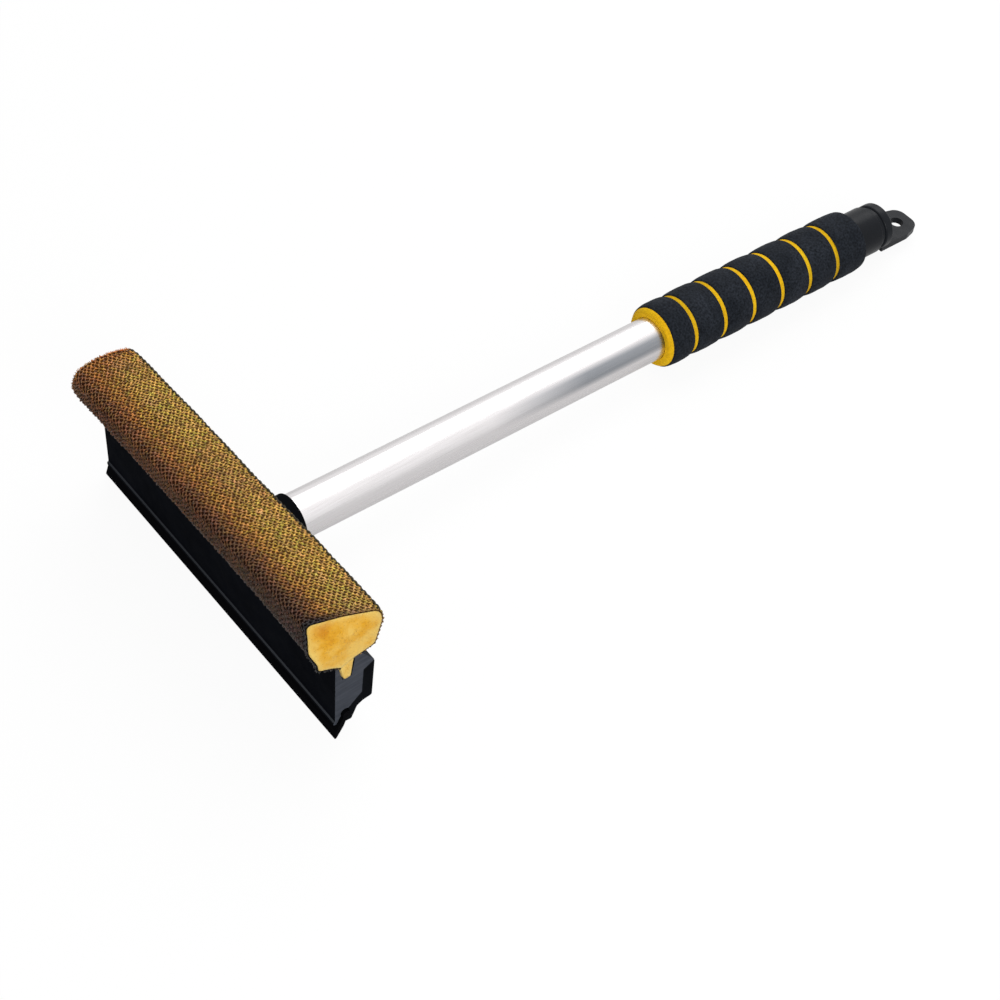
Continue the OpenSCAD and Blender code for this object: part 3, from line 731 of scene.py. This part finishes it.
# The seam that closes the net along the rear upper edge, with its stitches
SEAM_ANGLE, STITCH = 44, 3.3
facing = np.degrees(np.arctan2(normal_out[:, 1], normal_out[:, 0]))
seam_s = s_all[int(np.argmin(np.abs(facing - SEAM_ANGLE)))]
x_line = np.linspace(-PAD_LEN / 2 + 0.4, PAD_LEN / 2 - 0.4, 900)
pull = np.abs(np.sin(math.pi * x_line / STITCH)) ** 5
wander = 0.18 * np.sin(x_line * 0.31) + 0.12 * np.sin(x_line * 1.13 + 2)
seam_line = net_place(x_line, seam_s + wander, 0.5 + 0.1 * pull)
lines, radii = [seam_line], [0.6 + 0.2 * pull]
t = np.linspace(-1, 1, 9)
for x in np.arange(-PAD_LEN / 2 + STITCH / 2, PAD_LEN / 2 - 1, STITCH):
    tilt = rng.normal(0, 0.15)
    lines.append(net_place(x + tilt * t, seam_s + 1.5 * t, 0.55 + 0.55 * (1 - t ** 2)))
    radii.append(0.30 - 0.08 * np.abs(t))
seam = strands("net_seam", lines, radii, THREAD)
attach(seam, "pad")

# Short yarn ends that stand out at both ends of the net, but not at the near end's rear side
lines, radii = [], []
t = np.linspace(0, 1, 6)
for end, gap, length in ((-1, 0.75, 0.9), (1, 1.9, 0.45)):
    for s_at in np.arange(1.0, net_len - 1.0, gap):
        if end > 0 and np.interp(s_at, s_all, normal_out[:, 0]) > 0.2:
            continue
        reach = length * (0.5 + rng.random())
        curl = rng.normal(0, 0.5, 2)
        root = np.full(len(t), end * (PAD_LEN / 2 - 0.6))
        line = net_place(root, s_at + curl[0] * t ** 2, 0.45 + (0.5 + 0.3 * curl[1]) * t ** 2)
        line[:, 0] += end * reach * t
        lines.append(line)
        radii.append(0.3 - 0.2 * t)
fringe = strands("net_fringe", lines, radii, YARN, 5)
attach(fringe, "pad")


# ---------------------------------------------------------------- the grip
AROUND = 128


def lathe(name, profile, material, rough_skin, seed):
    """A closed ring round the handle's axis: profile is a closed outline of (radius, y).

    rough_skin is about how far its surface wavers, in millimetres."""
    noise = np.random.default_rng(seed)
    m = len(profile)
    rows = []
    waves = noise.normal(0, 1, (6, 3))
    for a in range(AROUND):
        angle = 2 * math.pi * a / AROUND
        ripple = sum(
            height * math.sin((k + 2) * angle + turn * 3) * np.cos(profile[:, 1] * 0.18 * (k + 1) + shift)
            for k, (height, turn, shift) in enumerate(waves))
        r = profile[:, 0] + rough_skin * ripple / 6 + noise.normal(0, rough_skin * 0.12, m)
        rows.append(np.column_stack([r * math.sin(angle), profile[:, 1], r * math.cos(angle)]))
    faces = []
    for a in range(AROUND):
        b = (a + 1) % AROUND
        for j in range(m):
            k = (j + 1) % m
            faces.append((a * m + j, a * m + k, b * m + k, b * m + j))
    return mesh_object(name, at_rest(np.vstack(rows)), faces, material)


# How a band's skin curves in at both edges: depth below BAND_R, and distance from the edge
BAND_EDGE = [(0.95, 0.03), (0.68, 0.14), (0.42, 0.36)]
across = np.linspace(0, 1, 30)
crown = BAND_R + 0.35 - 0.6 * np.abs(2 * across - 1) ** 3
inner = CORE_R - 0.4
for k in range(BANDS):
    y0 = BANDS_START + k * BAND_PITCH
    y1 = y0 + BAND_PITCH - GROOVE_W
    y0 = max(y0, GRIP_FRONT)
    y1 = GRIP_END if k == BANDS - 1 else y1
    rising = [(BAND_R - deep, y0 + off) for deep, off in BAND_EDGE]
    skin = [(r, y0 + 0.7 + (y1 - y0 - 1.4) * t) for r, t in zip(crown, across)]
    falling = [(BAND_R - deep, y1 - off) for deep, off in BAND_EDGE[::-1]]
    profile = np.array([(inner, y0), *rising, *skin, *falling, (inner, y1)])
    band = lathe("grip_foam_%d" % (k + 1), profile, GRIP, rough_skin=0.16, seed=20 + k)
    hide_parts("grip_band_%d" % (k + 1))
    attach(band, "tool")

# The core: rounded nose, a step under the first band, and a wider bore round the cap
bore = TUBE_R + 0.05
bevel_r = BAND_R - 1.1
core = rounded([
    (bore, GRIP_FRONT - GRIP_NOSE, 0.5),
    (bevel_r - 1.4, GRIP_FRONT - GRIP_NOSE, 1.9),
    (bevel_r, GRIP_FRONT - 0.7, 1.2),
    (bevel_r, GRIP_FRONT, 0.0),
    (CORE_R, GRIP_FRONT, 0.0),
    (CORE_R, GRIP_END, 0.0),
    (CAP_R + 0.1, GRIP_END, 0.0),
    (CAP_R + 0.1, TUBE_END, 0.0),
    (bore, TUBE_END, 0.0),
], 8)
core_piece = lathe("grip_foam_core", core, YELLOW, rough_skin=0.05, seed=3)
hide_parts("grip_core")
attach(core_piece, "tool")


# ---------------------------------------------------------------- moulded and metal parts
def dress(name, material, width, segments=3, angle=30.0):
    """A CAD node keeps its form: it gets its material and a small moulded edge.

    width is that edge's, in millimetres, at edges sharper than angle, in degrees."""
    obj = nodes[name]
    mesh = obj.data
    mesh.materials.clear()
    mesh.materials.append(material)
    mesh.polygons.foreach_set("material_index", [0] * len(mesh.polygons))
    if "custom_normal" in mesh.attributes:
        mesh.attributes.remove(mesh.attributes["custom_normal"])
    mesh.polygons.foreach_set("use_smooth", [True] * len(mesh.polygons))
    weld = obj.modifiers.new("weld", "WELD")
    weld.merge_threshold = 1e-6
    if width:
        edge = obj.modifiers.new("edge", "BEVEL")
        edge.width = width * MM
        edge.segments = segments
        edge.limit_method = "ANGLE"
        edge.angle_limit = math.radians(angle)
        edge.harden_normals = True
        edge.use_clamp_overlap = True
    normals = obj.modifiers.new("normals", "WEIGHTED_NORMAL")
    normals.keep_sharp = False


dress("front_shell", FRONT, 0.35)
dress("rear_shell", BLACK, 0.35)
dress("rubber_blade", RUBBER, 0.12, 2)
dress("shell_screws", STEEL, 0.1, 2)
dress("socket_rivet", STEEL, 0.0)
dress("handle_tube", TUBE, 0.12, 2, 50.0)
dress("tube_plug", PLUG, 0.3)
dress("end_cap", CAP, 0.4)


# ---------------------------------------------------------------- stage, light and camera
def stage_material(name, seen, mirrored):
    """The floor: grey that glows white by these shares, where it is seen and in reflections.

    The rest of it keeps the object's soft shadow."""
    material = bpy.data.materials.new(name)
    material.use_nodes = True
    tree = material.node_tree
    tree.nodes.clear()
    add = tree.nodes.new
    out, mix = add("ShaderNodeOutputMaterial"), add("ShaderNodeMixShader")
    diffuse, glow = add("ShaderNodeBsdfDiffuse"), add("ShaderNodeEmission")
    path = add("ShaderNodeLightPath")
    diffuse.inputs["Color"].default_value = (0.66, 0.66, 0.66, 1)
    glow.inputs["Color"].default_value = (1, 1, 1, 1)
    glow.inputs["Strength"].default_value = 1.06
    share = None
    rays = (("Is Camera Ray", seen), ("Is Glossy Ray", mirrored), ("Is Transmission Ray", seen))
    for ray, amount in rays:
        part = add("ShaderNodeMath")
        part.operation = "MULTIPLY"
        part.inputs[1].default_value = amount
        tree.links.new(path.outputs[ray], part.inputs[0])
        if share is None:
            share = part
        else:
            most = add("ShaderNodeMath")
            most.operation = "MAXIMUM"
            tree.links.new(share.outputs[0], most.inputs[0])
            tree.links.new(part.outputs[0], most.inputs[1])
            share = most
    tree.links.new(share.outputs[0], mix.inputs[0])
    tree.links.new(diffuse.outputs[0], mix.inputs[1])
    tree.links.new(glow.outputs[0], mix.inputs[2])
    tree.links.new(mix.outputs[0], out.inputs["Surface"])
    return material


FLOOR = 6.0
floor_mesh = bpy.data.meshes.new("floor")
floor_corners = [(-FLOOR, -FLOOR, 0), (FLOOR, -FLOOR, 0), (FLOOR, FLOOR, 0), (-FLOOR, FLOOR, 0)]
floor_mesh.from_pydata(floor_corners, [], [(0, 1, 2, 3)])
floor_mesh.materials.append(stage_material("floor_pale", 0.88, 0.45))
floor = bpy.data.objects.new("floor", floor_mesh)
bpy.context.scene.collection.objects.link(floor)
floor.location = (0, 0, -0.0002)

# The world is white to the camera, dim as ambient light, and brighter above in reflections
AMBIENT = 0.3
world = bpy.data.worlds.new("studio")
bpy.context.scene.world = world
world.use_nodes = True
tree = world.node_tree
tree.nodes.clear()
out, back = tree.nodes.new("ShaderNodeOutputWorld"), tree.nodes.new("ShaderNodeBackground")
path = tree.nodes.new("ShaderNodeLightPath")
sky, parts = tree.nodes.new("ShaderNodeTexCoord"), tree.nodes.new("ShaderNodeSeparateXYZ")
tree.links.new(sky.outputs["Generated"], parts.inputs[0])
dome = tree.nodes.new("ShaderNodeMapRange")
dome.inputs["To Min"].default_value = 0.9
dome.inputs["To Max"].default_value = 1.3
tree.links.new(parts.outputs["Z"], dome.inputs["Value"])


def choose(ray, other, value):
    """The value for this kind of ray, and otherwise the other one."""
    node = tree.nodes.new("ShaderNodeMix")
    tree.links.new(path.outputs[ray], node.inputs["Factor"])
    for key, item in (("A", other), ("B", value)):
        if isinstance(item, float):
            node.inputs[key].default_value = item
        else:
            tree.links.new(item, node.inputs[key])
    return node.outputs["Result"]


level = choose("Is Glossy Ray", AMBIENT, dome.outputs["Result"])
level = choose("Is Transmission Ray", level, 1.0)
level = choose("Is Camera Ray", level, 1.0)
back.inputs["Color"].default_value = (1, 1, 1, 1)
tree.links.new(level, back.inputs["Strength"])
tree.links.new(back.outputs[0], out.inputs["Surface"])


def lamp(name, place, target, size, power):
    """A rectangular light at a place, turned to its target."""
    light = bpy.data.lights.new(name, "AREA")
    light.shape = "RECTANGLE"
    light.size, light.size_y = size
    light.energy = power
    obj = bpy.data.objects.new(name, light)
    bpy.context.scene.collection.objects.link(obj)
    obj.location = place
    obj.rotation_euler = (Vector(target) - Vector(place)).to_track_quat("-Z", "Y").to_euler()


lamp("overhead", (-0.52, 0.72, 1.36), (0.0, 0.0, 0.02), (1.25, 1.7), 15.0)
lamp("side", (1.35, -0.55, 0.95), (0.0, -0.12, 0.03), (0.8, 0.8), 13.0)

# The camera: sensor width in mm, focal length in picture widths, its axes and its place
SENSOR, FOCAL = 36.0, 2.0564668
RIGHT = (0.620238, 0.781401, 0.068688)
UP = (-0.619107, 0.433879, 0.654565)
BACK = (0.481675, -0.448511, 0.752879)
EYE = (0.553988, -0.571703, 0.818851)
camera_data = bpy.data.cameras.new("camera")
camera_data.sensor_width = SENSOR
camera_data.sensor_fit = "HORIZONTAL"
camera_data.lens = SENSOR * FOCAL
camera_data.clip_start = 0.01
camera_data.clip_end = 50.0
camera = bpy.data.objects.new("camera", camera_data)
bpy.context.scene.collection.objects.link(camera)
camera.matrix_world = Matrix([*zip(RIGHT, UP, BACK, EYE), (0, 0, 0, 1)])
bpy.context.scene.camera = camera
bpy.context.scene.view_settings.view_transform = "Standard"

bpy.context.view_layer.update()
